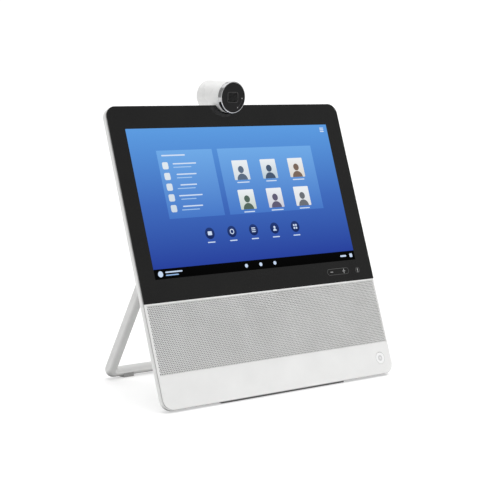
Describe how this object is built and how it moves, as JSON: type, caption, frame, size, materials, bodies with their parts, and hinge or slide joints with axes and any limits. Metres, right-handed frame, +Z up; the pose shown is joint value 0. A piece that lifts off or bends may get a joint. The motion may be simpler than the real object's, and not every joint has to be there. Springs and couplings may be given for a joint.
{
  "type": "desk video phone",
  "caption": "Leaning desk video phone: touch screen over a speaker grille, tilting barrel camera with a shutter ring, lit home button and a folding loop stand.",
  "frame": {"origin": "on the table, under the middle of the object's bounding box", "axes": "+X to the user's right, +Y away from the user, +Z up"},
  "size_m": [0.3542, 0.2084, 0.3604],
  "materials": {
    "pale_shell": "satin pale grey moulding",
    "camera_shell": "satin white moulding",
    "cover_glass": "polished, black printed border",
    "picture": "lit display",
    "board": "circuit board laminate",
    "grille": "perforated, satin grey",
    "cloth": "acoustic cloth",
    "dark_plastic": "matt",
    "dark_metal": "painted",
    "magnet": "sintered",
    "steel": "plain",
    "heat_sink": "extruded",
    "antenna": "thin sheet",
    "stand": "satin grey paint",
    "rubber": "matt",
    "foot_rubber": "matt grey",
    "lens_window": "polished, smoked",
    "chrome": "dark, polished",
    "button": "satin grey",
    "light_ring": "translucent white"
  },
  "bodies": {
    "panel": {"front_frame": "pale_shell", "rear_shell": "pale_shell", "back_cover": "pale_shell", "cover_glass": "cover_glass", "display_module": "picture", "touch_key_board": "board", "main_board": "board", "button_board": "board", "speaker_grille": "grille", "grille_cloth": "cloth", "speaker_baffle": "dark_plastic", "button_switch": "dark_plastic", "power_inlet": "dark_plastic", "socket_bezel": "dark_plastic", "left_speaker_cone": "dark_plastic", "right_speaker_cone": "dark_plastic", "left_speaker_basket": "dark_metal", "right_speaker_basket": "dark_metal", "camera_mount": "dark_metal", "left_speaker_magnet": "magnet", "right_speaker_magnet": "magnet", "left_microphone": "steel", "right_microphone": "steel", "chassis_plate": "steel", "chassis_screws": "steel", "cover_screws": "steel", "board_screws": "steel", "mount_screws": "steel", "left_hinge_bracket": "steel", "right_hinge_bracket": "steel", "left_hinge_pin": "steel", "right_hinge_pin": "steel", "network_jack": "steel", "computer_jack": "steel", "usb_socket": "steel", "video_socket": "steel", "heat_sink": "heat_sink", "left_antenna": "antenna", "right_antenna": "antenna", "left_friction_washer": "antenna", "right_friction_washer": "antenna", "front_foot_strip": "rubber"},
    "stand": {"stand_loop": "stand", "left_stand_foot": "foot_rubber", "right_stand_foot": "foot_rubber"},
    "camera": {"camera_barrel": "camera_shell", "camera_back_cap": "camera_shell", "tilt_axle": "steel", "lens_window": "lens_window", "lens_barrel": "dark_plastic", "sensor_board": "board"},
    "camera_ring": {"shutter_ring": "chrome"},
    "shutter": {"shutter_blade": "dark_plastic"},
    "home_key": {"home_button": "button", "button_light_ring": "light_ring"}
  },
  "joints": [
    {"name": "stand_hinge", "type": "hinge", "parent": "panel", "child": "stand", "pos_m": [0, -0.00658, 0.18406], "axis": [1, 0, 0], "range_deg": [-49, 10]},
    {"name": "camera_tilt", "type": "hinge", "parent": "panel", "child": "camera", "pos_m": [0, 0.01362, 0.34064], "axis": [1, 0, 0], "range_deg": [-15, 5]},
    {"name": "shutter_ring_turn", "type": "hinge", "parent": "camera", "child": "camera_ring", "pos_m": [0, -0.00736, 0.3398], "axis": [0, -0.9992, -0.0401], "range_deg": [0, 55]},
    {"name": "shutter_blade_swing", "type": "hinge", "parent": "camera", "child": "shutter", "pos_m": [0.0093, -0.00736, 0.3398], "axis": [0, -0.9992, -0.0401], "range_deg": [0, 55]},
    {"name": "home_button_press", "type": "slide", "parent": "panel", "child": "home_key", "axis": [0, 0.9492, -0.3148], "range_m": [0, 0.0008], "stiffness_N_per_m": 2500, "springref_m": -0.0004}
  ],
  "couplings": [
    {"joint": "shutter_blade_swing", "follows": "shutter_ring_turn", "ratio": 1}
  ]
}
